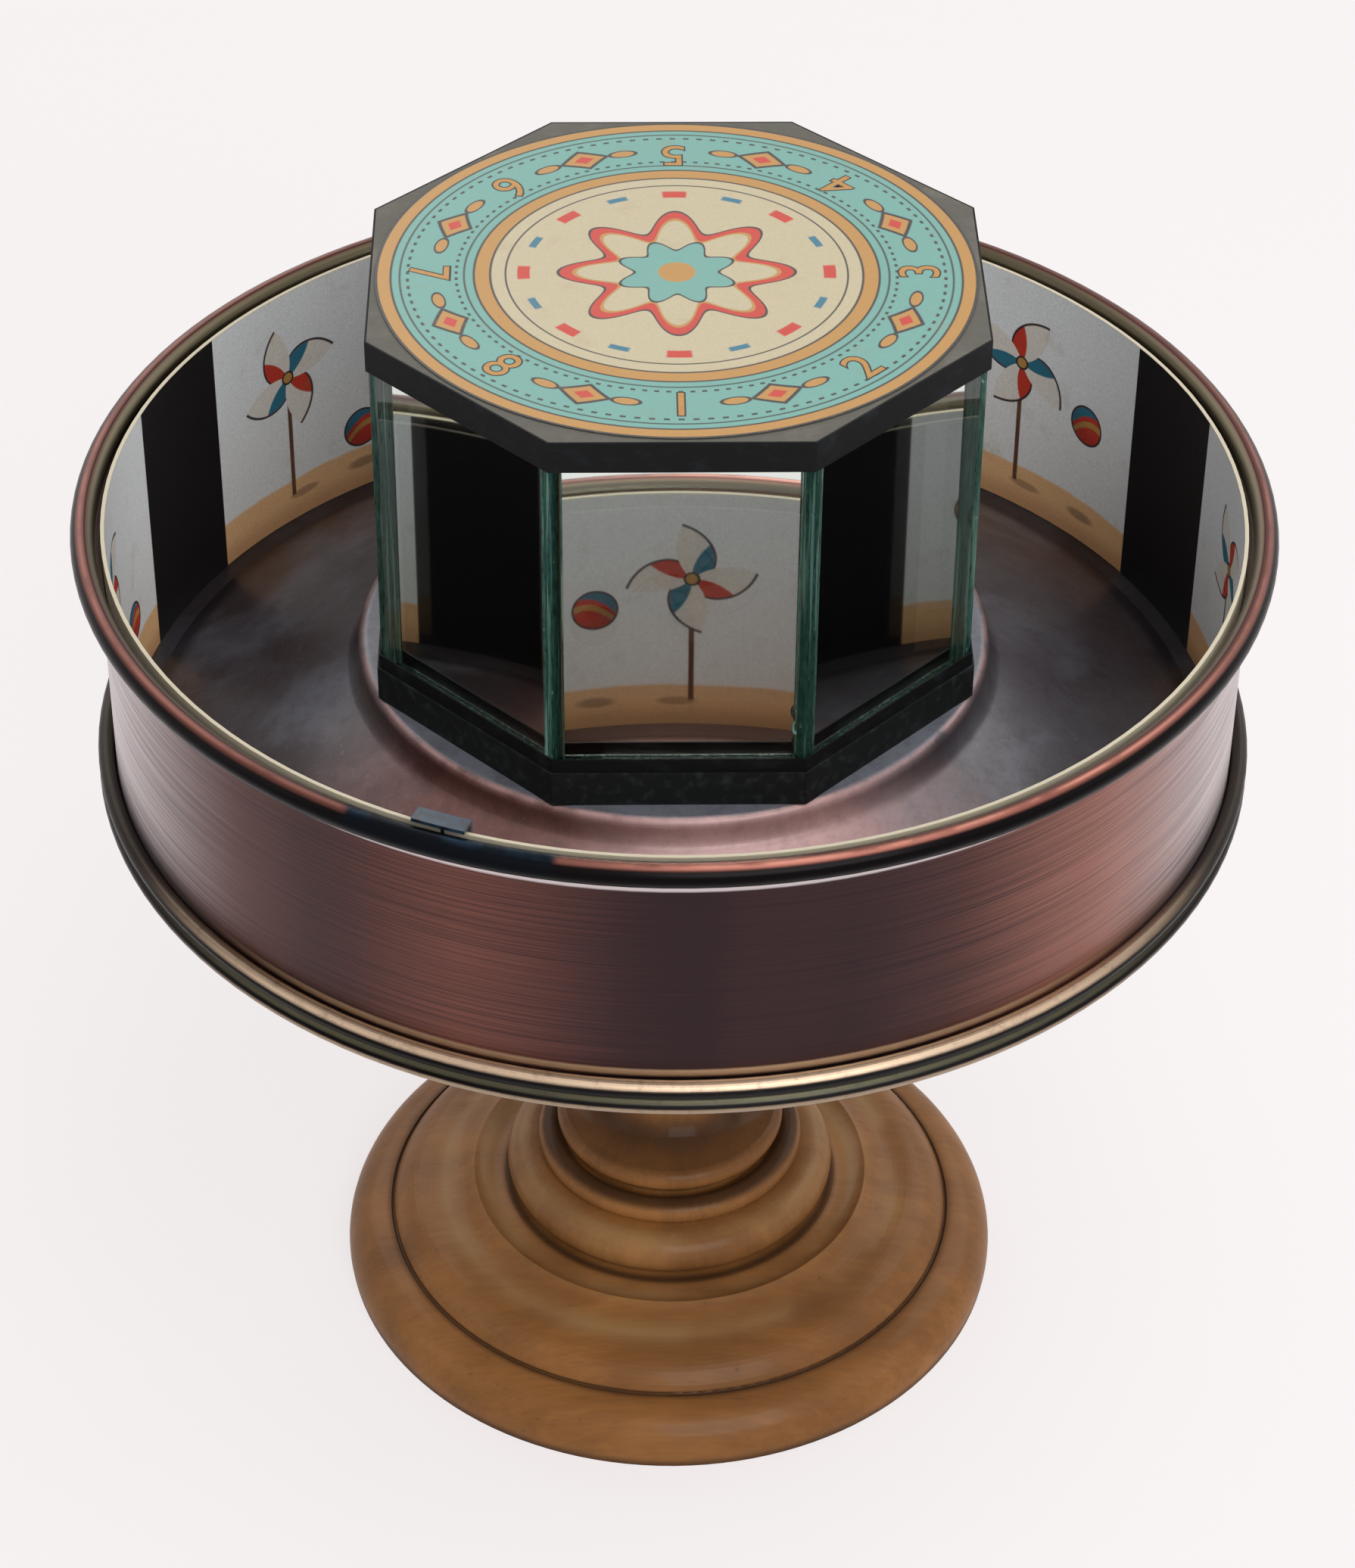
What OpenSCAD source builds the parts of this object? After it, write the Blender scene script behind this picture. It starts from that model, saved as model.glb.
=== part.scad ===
// Praxinoscope on a turned wooden stand.
// A tin drum spins on a steel pin. Eight mirrors stand in the middle of the drum and show the
// pictures of a strip that lies round the inside of its wall.
// Origin: centre of the foot's underside. +Z up. Millimetres.

/* [Drum] */
// Outer radius of the drum wall
drum_r = 76.6; // [70:0.1:84]
// Thickness of the tin of the wall
wall_t = 0.5; // [0.4:0.1:0.8]
// Depth of the drum, from the middle of its rim to the floor at the wall
drum_depth = 37.9; // [34:0.1:44]
// Radius of the wire in the rim
rim_wire_r = 1.05; // [0.9:0.05:1.4]
// How far the wall flares out below the rim
neck_out = 0.7; // [0.4:0.1:1]
// Height of that flare, up to the middle of the rim
neck_h = 4.4; // [3:0.1:6]
// Height of the drum's underside above the table
drum_lift = 96; // [90:1:110]

/* [Drum floor] */
// Thickness of the tin of the floor
pan_t = 0.6; // [0.5:0.1:0.9]
// Radius of the raised plateau that carries the prism
plateau_r = 43; // [43:0.5:47]
// Height of the plateau above the floor at the wall
plateau_rise = 17.7; // [14:0.1:19]
// Height of the plateau's upright edge above the sloping floor
plateau_step = 3.8; // [3.6:0.1:5]
// Radius of the plateau's rounded edge
shoulder_r = 1.4; // [1:0.1:1.5]
// Radius of the hollow between the plateau's edge and the sloping floor
floor_cove_r = 2.8; // [2:0.1:3]
// Radius of the two beads rolled round the foot of the wall
pan_bead_r = 1.2; // [1:0.05:1.4]
// Height from the middle of the lower bead to the middle of the upper one
pan_bead_step = 2.5; // [2.2:0.1:3]
// How far the beads stand out past the wall
pan_bead_out = 2.4; // [1.8:0.1:3]

/* [Prism] */
// Middle of the prism to the outer face of a mirror
mirror_apothem = 39; // [36:0.5:39.5]
// Thickness of the mirror glass
mirror_t = 3; // [2:0.1:4]
// Height of a mirror
mirror_h = 49.2; // [44:0.2:56]
// Height of the black plinth under the mirrors
plinth_h = 5; // [4:0.5:8]
// How far the plinth stands out past the mirrors
plinth_step = 0.5; // [0.3:0.1:0.8]
// Radius of the hole through the plinth
plinth_hole_r = 18; // [16:0.5:22]
// Thickness of the carcass that carries the mirrors
core_t = 6; // [5:0.5:9]
// Thickness of the card lid
lid_t = 1.2; // [0.8:0.1:2]
// Height of the paper band round the lid
lid_band_h = 4.3; // [3:0.1:6]
// Height of the paper band round the foot of the mirrors
base_band_h = 2.1; // [1.5:0.1:4]
// Thickness of the paper bands
band_t = 0.2; // [0.15:0.05:0.3]
// Radius of the round label on the lid
label_r = 38.6; // [32:0.1:38.8]
// Thickness of the label
label_t = 0.15; // [0.1:0.05:0.3]

/* [Picture strip] */
// How far the strip stands above the middle of the rim
strip_over_rim = 0.7; // [0.4:0.1:2]
// Thickness of the strip
strip_t = 0.5; // [0.3:0.1:0.8]
// Width of the bar that holds the strip's ends
bar_w = 7; // [5:0.5:10]
// Thickness of the tin of that bar
bar_t = 0.5; // [0.4:0.1:0.8]

/* [Bearing] */
// Radius of the steel spindle
spindle_r = 2.5; // [2:0.1:3]
// Depth to which the spindle is driven into the pillar
spindle_sunk = 30; // [20:1:36]
// Clearance between spindle and hub tube, on the radius
running_fit = 0.05; // [0.02:0.01:0.1]
// Wall of the hub tube
hub_tube_t = 1.5; // [1:0.1:2.5]
// Height of the plug in the top of the hub tube, which rides on the spindle's tip
cup_h = 3.4; // [2.6:0.1:5]
// Radius of the hub plate
hub_plate_r = 15; // [13:0.5:17]
// Thickness of the hub plate
hub_plate_t = 1.2; // [0.8:0.1:2]
// Thickness of the washer under the hub tube
washer_t = 0.8; // [0.5:0.1:1.5]
// Radius of that washer
washer_r = 7; // [6:0.5:9]
// Gap between parts that turn past each other
running_gap = 0.3; // [0.2:0.1:0.5]

/* [Stand] */
// Radius of the foot at its widest
foot_r = 48.7; // [46:0.1:56]
// Radius of the foot's rounded edge
foot_edge_r = 6.4; // [5:0.1:7]
// Height of the foot, up to the pillar's lowest bead
foot_h = 13.3; // [12.5:0.1:16]
// Height of the whole stand, to the top of the pillar
stand_h = 88; // [80:1:92]
// Radius of the pillar's big lower bead
big_bead_r = 3.3; // [2.8:0.1:3.6]
// Widest radius of the big bead
big_bead_out = 24.3; // [22:0.1:25]
// Radius of the small bead above it
small_bead_r = 1.9; // [1.6:0.1:2.2]
// Widest radius of the small bead
small_bead_out = 19.6; // [18:0.1:21]
// Radius of the lip above the small bead
lip_r = 1.8; // [1.5:0.1:2.1]
// Widest radius of the lip
lip_out = 16.8; // [15.5:0.1:17.5]
// Radius of the cove between lip and pillar
neck_cove_r = 6.9; // [5:0.1:7.4]
// Radius of the pillar where it leaves the cove
pillar_r = 8.7; // [8:0.1:10]
// Swell of the pillar at its middle
pillar_swell = 2; // [0:0.1:3]
// Radius of the round collar at the pillar's top
collar_r = 2.6; // [2:0.1:3.2]
// Depth of the pillar's tenon in the foot
tenon_h = 9; // [7:0.5:10]
// Radius of that tenon
tenon_r = 8; // [6:0.5:10]

/* [Hidden] */
$fn = 96;

sides = 8;               // mirrors of the prism, and pictures on the strip
half_side = 180 / sides; // angle from the middle of a mirror to its edge
glue_gap = 0.05;         // between pieces that are glued or pressed together
slip_gap = 0.1;          // between pieces that slip together
cut = 1;                 // how far a cutter reaches past what it cuts

// Heights of the drum
floor_z = drum_lift + pan_t;            // floor at the wall
rim_z = floor_z + drum_depth;           // middle of the rim
plateau_z = floor_z + plateau_rise;     // top of the plateau
plate_z = plateau_z - pan_t - hub_plate_t;
floor_flat_x = drum_r - wall_t - 3;     // the floor lies flat for a little way along the wall
floor_slope = atan((plateau_rise - plateau_step) / (floor_flat_x - plateau_r));

// Two beads of the floor's edge round the foot of the wall, with a groove between them
pan_bead_x = drum_r + pan_bead_out - pan_bead_r;
pan_bead_z = drum_lift + pan_bead_r;
groove_turn = 56;                       // from the level to where a bead meets the groove
groove_r = pan_bead_step / 2 / sin(groove_turn) - pan_bead_r;
groove_x = pan_bead_x + pan_bead_step / 2 / tan(groove_turn);

// Rim: the wall flares out and its top edge is curled round the wire
curl_r = rim_wire_r + slip_gap / 2 + wall_t;
curl_x = drum_r - wall_t + neck_out + curl_r;

// Strip and bar, inside the wall
strip_r = drum_r - wall_t - slip_gap;
bar_r = strip_r - strip_t - slip_gap;
strip_z = floor_z + slip_gap;
strip_top = rim_z + strip_over_rim;
bar_azimuth = -180 + 3 * half_side;     // the strip's ends meet at a bar between two pictures
strip_joint = 0.6;                      // gap between the strip's ends

// Prism
mirror_z = plateau_z + plinth_h;
mirror_top = mirror_z + mirror_h;
core_apothem = mirror_apothem - mirror_t - glue_gap;
plate_w = 2 * (mirror_apothem - mirror_t) * tan(half_side) - slip_gap;
lid_z = mirror_top + slip_gap;
lid_apothem = mirror_apothem + glue_gap;
plinth_apothem = mirror_apothem + plinth_step;

// Bearing
tube_bore = spindle_r + running_fit;
tube_r = tube_bore + hub_tube_t;
tube_top = plateau_z - pan_t;
tube_z = stand_h + washer_t + running_gap;
cup_z = tube_top - cup_h;
spindle_top = cup_z - running_gap;
rivet_circle = (tube_r + hub_plate_r) / 2;
rivet_r = 1.2;
rivet_head_r = 2.2;
rivet_head_h = 0.9;

// Screws that hold the prism
prism_screw_circle = core_apothem - core_t / 2;
prism_screw_r = 1.2;
prism_screw_head_r = 2.6;
prism_screw_head_h = 1.8;
prism_screw_grip = 9;

// Stand
foot_line_z = 7.5;                       // scribed line above the rounded edge
foot_line_x = foot_r - 6.9;
foot_line_r = 0.35;
round_r = 7;                             // rounded part inside the scribed line
round_start = 22;                        // from the level to where it leaves that line
round_x = foot_line_x - round_r * cos(round_start);
round_z = foot_line_z - round_r * sin(round_start);
hollow_r = 4.4;                          // hollow between the crest and the big bead
hollow_x = big_bead_out + 2.2;
hollow_z = foot_h - 0.3 + hollow_r;
crest_x = hollow_x + 3;
crest_z = foot_h + 0.8;
foot_recess_r = foot_r - 11;             // turned hollow under the foot
foot_recess_h = 1.5;
big_bead_z = foot_h + big_bead_r;
small_bead_z = foot_h + 2 * big_bead_r + small_bead_r - 0.6;
lip_z = small_bead_z + small_bead_r + lip_r + 0.3;
cove_z = lip_z + lip_r;
shaft_z = cove_z + neck_cove_r;
collar_z = stand_h - collar_r - 1.5;
collar_x = pillar_r;
screw_r = 2;
screw_head_r = 4.4;
screw_head_h = 2.6;
screw_len = 22;

// ---- shared shapes ----

// A prism of as many sides as there are mirrors, with flat sides towards +X and +Y.
module octagon(apothem, h) {
    rotate(half_side)
        cylinder(r = apothem / cos(half_side), h = h, $fn = sides);
}

// A band of thickness t round an octagon.
module octagon_band(apothem, t, h) {
    difference() {
        octagon(apothem + t, h);
        translate([0, 0, -cut]) octagon(apothem, h + 2 * cut);
    }
}

module tube(r_out, r_in, h) {
    difference() {
        cylinder(r = r_out, h = h);
        translate([0, 0, -cut]) cylinder(r = r_in, h = h + 2 * cut);
    }
}

// Copies its children n times round the axis, the first one at angle a.
module ring_of(n, a = 0) {
    for (i = [0 : n - 1]) rotate(a + i * 360 / n) children();
}

// Points of an arc round c, from angle a to angle b.
function arc(c, r, a, b, n = 12) =
    [for (i = [0 : n]) c + r * [cos(a + (b - a) * i / n), sin(a + (b - a) * i / n)]];

function reversed(list) = [for (i = [len(list) - 1 : -1 : 0]) list[i]];

// ---- stand ----

// Half section of the foot: rounded edge, scribed line, rounded part, sweep up to a crest, hollow.
module foot_profile() {
    sweep_steps = 8;
    sweep_from = [round_x, round_z + round_r];
    sweep = [for (i = [1 : sweep_steps]) let (u = i / sweep_steps)
        [sweep_from.x + (crest_x - sweep_from.x) * u, sweep_from.y + (crest_z - sweep_from.y) * u * u]];
    difference() {
        union() {
            intersection() {
                translate([foot_r - foot_edge_r, foot_edge_r / 5]) circle(foot_edge_r);
                square([foot_r, foot_r]);
            }
            polygon(concat(
                [[0, 0], [foot_line_x, 0]],
                arc([round_x, round_z], round_r, round_start, 90),
                sweep,
                [[0, crest_z]]
            ));
        }
        translate([foot_line_x, foot_line_z + foot_line_r / 2]) circle(foot_line_r, $fn = 24);
        translate([hollow_x, hollow_z]) circle(hollow_r);
        square([foot_recess_r, foot_recess_h]);
        translate([-cut, foot_h]) square([hollow_x + cut, foot_h]);
        translate([-cut, -foot_h]) square([foot_r + 2 * cut, foot_h]);
    }
}

module foot() {
    color("#966035")
    difference() {
        rotate_extrude() foot_profile();
        translate([0, 0, foot_h - tenon_h - slip_gap])
            cylinder(r = tenon_r + glue_gap, h = tenon_h + cut);
        cylinder(r = screw_r + slip_gap, h = foot_h);
        translate([0, 0, -cut])
            cylinder(r = screw_head_r + slip_gap, h = foot_recess_h + screw_head_h + slip_gap + cut);
    }
}

// Half section of the pillar, from the bottom of its tenon to its flat top.
module column_profile() {
    shaft_h = collar_z - shaft_z;
    shaft_steps = 24;
    swell_line = [for (i = [0 : shaft_steps])
        [pillar_r + pillar_swell * sin(180 * i / shaft_steps), shaft_z + shaft_h * i / shaft_steps]];
    translate([0, foot_h - tenon_h]) square([tenon_r, tenon_h + cut]);
    translate([0, foot_h]) square([big_bead_out - big_bead_r, 2 * big_bead_r]);
    translate([big_bead_out - big_bead_r, big_bead_z]) circle(big_bead_r);
    translate([0, foot_h]) square([small_bead_out - small_bead_r, small_bead_z - foot_h]);
    translate([small_bead_out - small_bead_r, small_bead_z]) circle(small_bead_r);
    translate([0, foot_h]) square([lip_out - lip_r, cove_z - foot_h]);
    translate([lip_out - lip_r, lip_z]) circle(lip_r);
    difference() {
        translate([0, cove_z - cut]) square([pillar_r + neck_cove_r, neck_cove_r + cut]);
        translate([pillar_r + neck_cove_r, shaft_z]) circle(neck_cove_r);
    }
    polygon(concat([[0, shaft_z - cut], [pillar_r, shaft_z - cut]], swell_line, [[0, collar_z]]));
    translate([0, collar_z - collar_r]) square([collar_x, stand_h - collar_z + collar_r]);
    translate([collar_x, collar_z]) circle(collar_r);
}

module column() {
    color("#8a5832")
    difference() {
        rotate_extrude() column_profile();
        translate([0, 0, stand_h - spindle_sunk - slip_gap])
            cylinder(r = spindle_r + glue_gap, h = spindle_sunk + cut);
        translate([0, 0, foot_h - tenon_h - cut])
            cylinder(r = screw_r + glue_gap, h = screw_len - foot_h + tenon_h + cut);
    }
}

module column_screw() {
    head_z = foot_recess_h;
    tip_h = 2 * screw_r;
    color("#8c8c8c") {
        translate([0, 0, head_z]) cylinder(r = screw_head_r, h = screw_head_h);
        translate([0, 0, head_z]) cylinder(r = screw_r, h = screw_len - tip_h - head_z);
        translate([0, 0, screw_len - tip_h]) cylinder(r1 = screw_r, r2 = 0.3, h = tip_h - slip_gap);
    }
}

module spindle() {
    foot_z = stand_h - spindle_sunk;
    tip_z = spindle_top - spindle_r;
    color("#b4b8bc") {
        translate([0, 0, foot_z]) cylinder(r = spindle_r, h = tip_z - foot_z);
        translate([0, 0, tip_z]) sphere(r = spindle_r);
    }
}

module thrust_washer() {
    color("#c8a04a")
    translate([0, 0, stand_h]) tube(washer_r, spindle_r + slip_gap, washer_t);
}

// ---- drum ----

// Outer line of the wall, or of the sheet t inside it: upright, then flared out to the rim.
function wall_line(t = 0) =
    concat(
        [[drum_r - t, floor_z]],
        [for (i = [0 : 8]) [drum_r - t + neck_out * (1 - cos(22.5 * i)) / 2,
                            rim_z - neck_h * (1 - i / 10)]],
        [[drum_r - t + neck_out, rim_z]]
    );

module drum_wall() {
    slit_z = rim_z - 0.8 * curl_r;       // the curl stays open a little, next to the wall
    color("#5a3228")
    rotate_extrude() {
        polygon(concat(wall_line(), reversed(wall_line(wall_t))));
        difference() {
            translate([curl_x, rim_z]) circle(curl_r);
            translate([curl_x, rim_z]) circle(curl_r - wall_t);
            translate([drum_r + neck_out, slit_z]) square([curl_r / 2, curl_r / 3]);
        }
    }
}

module rim_wire() {
    color("#7d7d7d")
    rotate_extrude() translate([curl_x, rim_z]) circle(rim_wire_r);
}

// Line of the floor's top surface, or of the sheet t below it: plateau, rounded edge, hollow,
// slope, flat, and the two beads that go up outside the wall and back to it.
function pan_line(t = 0) =
    let (cove_x = plateau_r + floor_cove_r)
    let (slope_over_cove = floor_z + (floor_flat_x - cove_x) * tan(floor_slope))
    let (bead_end = acos((drum_r + glue_gap - pan_bead_x) / pan_bead_r))
    let (out_r = pan_bead_r - pan_t + t)
    concat(
        [[0, plateau_z - t]],
        arc([plateau_r - shoulder_r, plateau_z - shoulder_r], shoulder_r - t, 90, 0),
        arc([cove_x, slope_over_cove + floor_cove_r / cos(floor_slope)],
            floor_cove_r + t, 180, 270 - floor_slope),
        [[floor_flat_x - t * tan(floor_slope / 2), floor_z - t]],
        arc([pan_bead_x, pan_bead_z], out_r, -90, groove_turn),
        arc([groove_x, pan_bead_z + pan_bead_step / 2], groove_r + pan_t - t,
            180 + groove_turn, 180 - groove_turn, 6),
        arc([pan_bead_x, pan_bead_z + pan_bead_step], out_r, -groove_turn, bead_end, 16)
    );

module pan_profile() {
    polygon(concat(pan_line(), reversed(pan_line(pan_t))));
}

module floor_pan() {
    color("#4a3a38")
    difference() {
        rotate_extrude() pan_profile();
        ring_of(3, bar_azimuth) translate([rivet_circle, 0, plate_z])
            cylinder(r = rivet_r + glue_gap, h = 2 * plateau_rise);
        ring_of(4, half_side) translate([prism_screw_circle, 0, plate_z - cut])
            cylinder(r = prism_screw_r + slip_gap, h = 2 * plateau_rise);
    }
}

module hub_plate() {
    color("#8f8f8f")
    translate([0, 0, plate_z])
    difference() {
        tube(hub_plate_r, tube_r + glue_gap, hub_plate_t);
        ring_of(3, bar_azimuth) translate([rivet_circle, 0, -cut])
            cylinder(r = rivet_r + glue_gap, h = hub_plate_t + 2 * cut);
    }
}

module hub_tube() {
    color("#c8a04a")
    translate([0, 0, tube_z]) tube(tube_r, tube_bore, tube_top - tube_z);
}

module bearing_cup() {
    dimple_r = 2 * spindle_r;
    color("#9a9ea2")
    difference() {
        translate([0, 0, cup_z]) cylinder(r = tube_bore - glue_gap / 2, h = tube_top - cup_z);
        translate([0, 0, cup_z + running_gap - dimple_r]) sphere(r = dimple_r);
    }
}

module hub_rivets() {
    color("#8a8a8a")
    ring_of(3, bar_azimuth) translate([rivet_circle, 0, 0]) {
        translate([0, 0, plate_z - rivet_head_h]) cylinder(r = rivet_head_r, h = rivet_head_h);
        translate([0, 0, plate_z - rivet_head_h])
            cylinder(r = rivet_r, h = plateau_z - plate_z + 2 * rivet_head_h);
        translate([0, 0, plateau_z]) cylinder(r = rivet_head_r, h = rivet_head_h);
    }
}

// ---- picture strip ----

module picture_strip() {
    color("#bcc2c4")
    difference() {
        translate([0, 0, strip_z]) tube(strip_r, strip_r - strip_t, strip_top - strip_z);
        rotate(bar_azimuth) translate([strip_r - 2, -strip_joint / 2, strip_z - cut])
            cube([4, strip_joint, strip_top - strip_z + 2 * cut]);
    }
}

// A black tin bar up the inside of the strip, folded out over the strip's top edge.
module strip_bar() {
    fold_out = drum_r + neck_out;
    fold_z = max(rim_z + curl_r, strip_top) + slip_gap;
    color("#182028")
    rotate(bar_azimuth)
    intersection() {
        rotate_extrude() {
            translate([bar_r - bar_t, strip_z]) square([bar_t, fold_z + bar_t - strip_z]);
            translate([bar_r - bar_t, fold_z]) square([fold_out - bar_r + bar_t, bar_t]);
        }
        translate([0, -bar_w / 2, 0]) cube([2 * drum_r, bar_w, 2 * rim_z]);
    }
}

// ---- prism ----

module plinth() {
    color("#14181a")
    difference() {
        translate([0, 0, plateau_z]) octagon(plinth_apothem, plinth_h);
        translate([0, 0, plateau_z - cut]) cylinder(r = plinth_hole_r, h = plinth_h + 2 * cut);
        prism_screw_holes();
    }
}

module prism_screw_holes() {
    ring_of(4, half_side) translate([prism_screw_circle, 0, plateau_z - cut])
        cylinder(r = prism_screw_r + glue_gap, h = prism_screw_grip + cut);
}

module prism_core() {
    color("#a8804e")
    difference() {
        translate([0, 0, mirror_z]) octagon_band(core_apothem - core_t, core_t, mirror_h);
        prism_screw_holes();
    }
}

module mirror_plate(i) {
    color("#9fb8b0")
    rotate((i - 1) * 2 * half_side - 90)
        translate([mirror_apothem - mirror_t, -plate_w / 2, mirror_z])
            cube([mirror_t, plate_w, mirror_h]);
}

module base_binding() {
    color("#0f1214")
    translate([0, 0, mirror_z]) octagon_band(mirror_apothem, band_t, base_band_h);
}

module lid_card() {
    color("#786e64")
    translate([0, 0, lid_z]) octagon(lid_apothem, lid_t);
}

module lid_binding() {
    color("#0f1214")
    translate([0, 0, lid_z + lid_t - lid_band_h])
        octagon_band(lid_apothem + glue_gap, band_t, lid_band_h);
}

module lid_label() {
    color("#82c8be")
    translate([0, 0, lid_z + lid_t]) cylinder(r = label_r, h = label_t);
}

module prism_screws() {
    head_z = plateau_z - pan_t - prism_screw_head_h;
    color("#8c8c8c")
    ring_of(4, half_side) translate([prism_screw_circle, 0, head_z]) {
        cylinder(r = prism_screw_head_r, h = prism_screw_head_h);
        cylinder(r = prism_screw_r, h = prism_screw_head_h + pan_t + prism_screw_grip - slip_gap);
    }
}

foot();
column();
column_screw();
spindle();
thrust_washer();
drum_wall();
rim_wire();
floor_pan();
hub_plate();
hub_tube();
bearing_cup();
hub_rivets();
picture_strip();
strip_bar();
plinth();
prism_core();
mirror_plate(1);  // mirror_1
mirror_plate(2);  // mirror_2
mirror_plate(3);  // mirror_3
mirror_plate(4);  // mirror_4
mirror_plate(5);  // mirror_5
mirror_plate(6);  // mirror_6
mirror_plate(7);  // mirror_7
mirror_plate(8);  // mirror_8
base_binding();
lid_card();
lid_binding();
lid_label();
prism_screws();
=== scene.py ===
"""Dresses a table praxinoscope: finishes for its tin, wood, card and glass, and the fine pieces.

Lengths are metres, as in the frame. Patterns are worked out in millimetres of the object's own
coordinates. Azimuths turn about +Z from +X; the front mirror faces -Y.
"""

import math

import bpy
from bpy.props import FloatProperty, FloatVectorProperty, PointerProperty
from mathutils import Matrix, Vector


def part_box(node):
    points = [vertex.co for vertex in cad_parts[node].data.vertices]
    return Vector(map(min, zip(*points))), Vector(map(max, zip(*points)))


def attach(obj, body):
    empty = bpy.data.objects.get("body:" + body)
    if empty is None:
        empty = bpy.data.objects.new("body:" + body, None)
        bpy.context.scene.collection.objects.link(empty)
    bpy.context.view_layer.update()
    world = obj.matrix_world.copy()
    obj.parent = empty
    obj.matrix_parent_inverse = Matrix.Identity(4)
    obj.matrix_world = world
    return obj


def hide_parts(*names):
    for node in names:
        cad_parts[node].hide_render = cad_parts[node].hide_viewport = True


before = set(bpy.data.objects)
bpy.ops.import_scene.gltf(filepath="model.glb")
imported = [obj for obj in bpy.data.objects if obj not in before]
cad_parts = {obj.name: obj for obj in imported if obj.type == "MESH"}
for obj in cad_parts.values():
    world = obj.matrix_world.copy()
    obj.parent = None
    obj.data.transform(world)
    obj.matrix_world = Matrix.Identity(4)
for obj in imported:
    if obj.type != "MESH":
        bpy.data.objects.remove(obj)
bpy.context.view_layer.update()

bl_info = {
    "name": "Praxinoscope dressing",
    "version": (1, 0, 0),
    "blender": (4, 5, 0),
    "location": "3D View > Sidebar > Praxinoscope",
    "description": "Finishes and fine pieces of a table praxinoscope",
    "category": "Object",
}

MM = 0.001
MIRRORS = 8
EIGHTH = 2 * math.pi / MIRRORS

# Driving places, read from the frame
WIRE_LOW, WIRE_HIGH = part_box("rim_wire")
RIM_MIDDLE = (WIRE_LOW.z + WIRE_HIGH.z) / 2
BEAD_MIDDLE = WIRE_HIGH.x - (WIRE_HIGH.z - WIRE_LOW.z) / 2
BEAD_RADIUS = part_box("drum_wall")[1].x - BEAD_MIDDLE
STRIP_LOW, STRIP_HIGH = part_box("picture_strip")
WALL_IN = STRIP_HIGH.x
DRUM_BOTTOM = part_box("floor_pan")[0].z
LABEL_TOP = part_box("lid_label")[1].z
LABEL_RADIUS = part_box("lid_label")[1].x
NUMERAL_RADIUS = LABEL_RADIUS - 7.6 * MM

# Places on the pieces that the patterns follow, in millimetres
FLARE_HIGHLIGHT = 3.75               # painted highlight line on the wall, below the middle of the rim
FOOT_HIGHLIGHT = 5.35                # tan painted highlight line on the wall, above the bottom of the drum
PLATEAU_EDGE = 42.4             # radius of the rounded shoulder of the raised floor
FOOT_SWELLS = (27.6, 34.0)      # radii of the rounded rings that are painted pale as highlights
COLUMN_SWELLS = (22.4,)
# Dark rings: radius and height, None where it doesn't matter, and how far the darkening reaches
# On the foot: grime in the scribed line and the groove by the big bead, and darker at the bottom
# edge.
FOOT_DARK_RINGS = ((41.8, 7.5, 0.8), (24.2, None, 0.9), (48.0, 0.2, 1.6))
# On the column: painted shade at 23 and 29, at the lip and in the cove under the drum; darker at 13
# and 81.
COLUMN_DARK_RINGS = ((None, 13.0, 1.2), (None, 23.0, 1.0), (None, 29.0, 4.5), (None, 81.0, 1.2))
STRIP_BAR_TURN = -21.3          # degrees round the wall from its front to the strip's bar

# How much the grain of the wood is drawn out along x, y and z
GRAIN_ALONG_X = (14, 1, 1.4)
GRAIN_UPRIGHT = (1, 1, 14)

# Places in each picture of the strip: to the right of its middle, and above its foot
PICTURE_HALF = 19.15
PINWHEEL_ACROSS = 4.0
PINWHEEL_UP = 24.5
BALL_ACROSS = -9.2
BALL_UP = 7.4                   # where it would touch the sand
BALL_BOUNCE = 15.0

# Flakes broken from the front plate's right edge: height above its foot, share of the largest
FLAKES = ((2.2, 0.7), (7.0, 1.0))
FLAKE_SHAPE = (0.55, 0.4, 1)    # width and depth as shares of the height

# Stage, in metres and degrees. A lamp is its name, azimuth, elevation, side, and its level's name
GROUND_RADIUS = 4
LAMP_AIM = Vector((0, 0, 0.12))
LAMP_DISTANCE = 0.9
LAMPS = (
    ("lamp_top", -40, 78, 0.5, "top"),
    ("lamp_front", -72, 34, 0.6, "front"),
    ("lamp_back_left", 118, 34, 0.6, "back"),
    ("lamp_back_right", 44, 34, 0.6, "back"),
    ("lamp_left", 190, 24, 0.4, "side"),
    ("lamp_right", -14, 24, 0.4, "side"),
)


# ---- colours and properties ----


def linear(red, green, blue):
    """A colour written as screen values from 0 to 255, as Blender's linear numbers."""
    def one(value):
        value /= 255
        return value / 12.92 if value <= 0.04045 else ((value + 0.055) / 1.055) ** 2.4
    return one(red), one(green), one(blue)


def colour(name, description, red, green, blue):
    return FloatVectorProperty(
        name=name, description=description, subtype="COLOR", size=3, min=0, max=1,
        default=linear(red, green, blue))


def length(name, description, default):
    return FloatProperty(
        name=name, description=description, unit="LENGTH", min=0, default=default * MM)


def angle(name, description, degrees):
    return FloatProperty(
        name=name, description=description, subtype="ANGLE", default=math.radians(degrees))


def level(name, description, default):
    return FloatProperty(name=name, description=description, min=0, default=default)


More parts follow.
